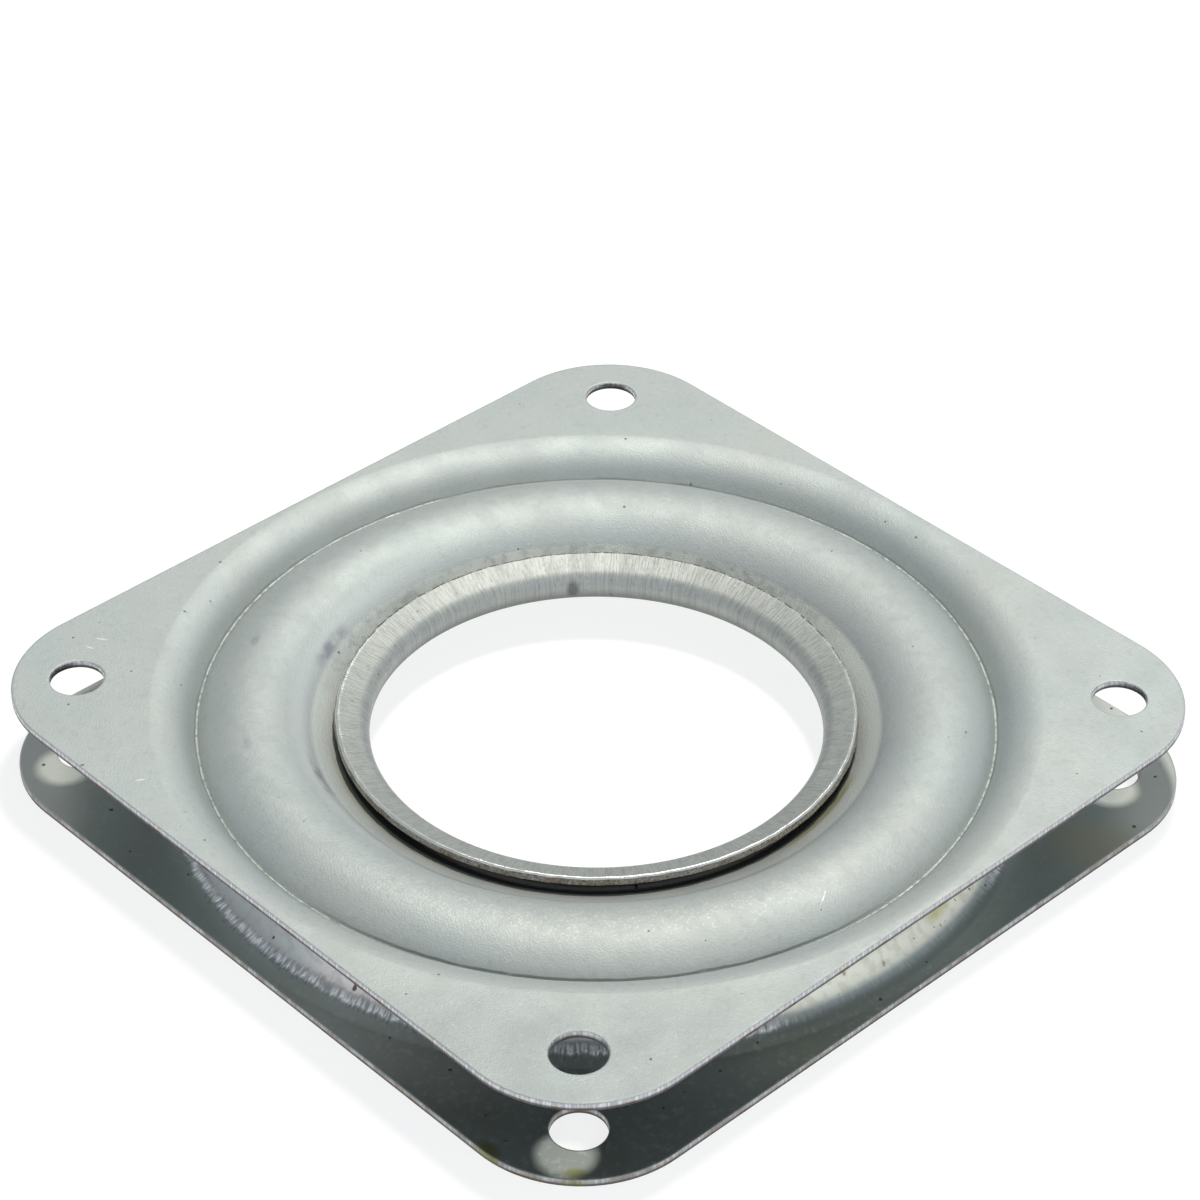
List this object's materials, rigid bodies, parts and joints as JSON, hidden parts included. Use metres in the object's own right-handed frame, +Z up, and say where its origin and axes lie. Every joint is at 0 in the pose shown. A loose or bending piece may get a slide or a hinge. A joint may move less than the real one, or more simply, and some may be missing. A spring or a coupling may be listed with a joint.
{
  "type": "lazy susan bearing",
  "caption": "Square pressed-steel turntable bearing: two plates with ball races turn on loose balls, held together by a swaged collar round an open centre.",
  "frame": {"origin": "middle of the lower mounting face, where the axis of rotation meets the board", "axes": "+Z up the axis of rotation towards the upper plate, +X and +Y square to the plates' sides"},
  "size_m": [0.09, 0.09, 0.0103],
  "materials": {
    "zinc_plated_sheet": "satin zinc plating on pressed steel sheet",
    "ball_steel": "polished bearing steel with a film of grease"
  },
  "bodies": {
    "lower_plate": {"lower_plate": "zinc_plated_sheet"},
    "upper_plate": {"upper_plate": "zinc_plated_sheet"},
    "ball_ring": {"ball_01": "ball_steel", "ball_02": "ball_steel", "ball_03": "ball_steel", "ball_04": "ball_steel", "ball_05": "ball_steel", "ball_06": "ball_steel", "ball_07": "ball_steel", "ball_08": "ball_steel", "ball_09": "ball_steel", "ball_10": "ball_steel", "ball_11": "ball_steel", "ball_12": "ball_steel", "ball_13": "ball_steel", "ball_14": "ball_steel", "ball_15": "ball_steel", "ball_16": "ball_steel", "ball_17": "ball_steel", "ball_18": "ball_steel", "ball_19": "ball_steel", "ball_20": "ball_steel", "ball_21": "ball_steel", "ball_22": "ball_steel", "ball_23": "ball_steel", "ball_24": "ball_steel"}
  },
  "joints": [
    {"name": "plate_turn", "type": "hinge", "parent": "lower_plate", "child": "upper_plate", "pos_m": [0, 0, 0.00515], "axis": [0, 0, 1], "continuous": true},
    {"name": "ball_orbit", "type": "hinge", "parent": "lower_plate", "child": "ball_ring", "pos_m": [0, 0, 0.00515], "axis": [0, 0, 1], "continuous": true}
  ],
  "couplings": [
    {"joint": "ball_orbit", "follows": "plate_turn", "ratio": 0.5}
  ]
}
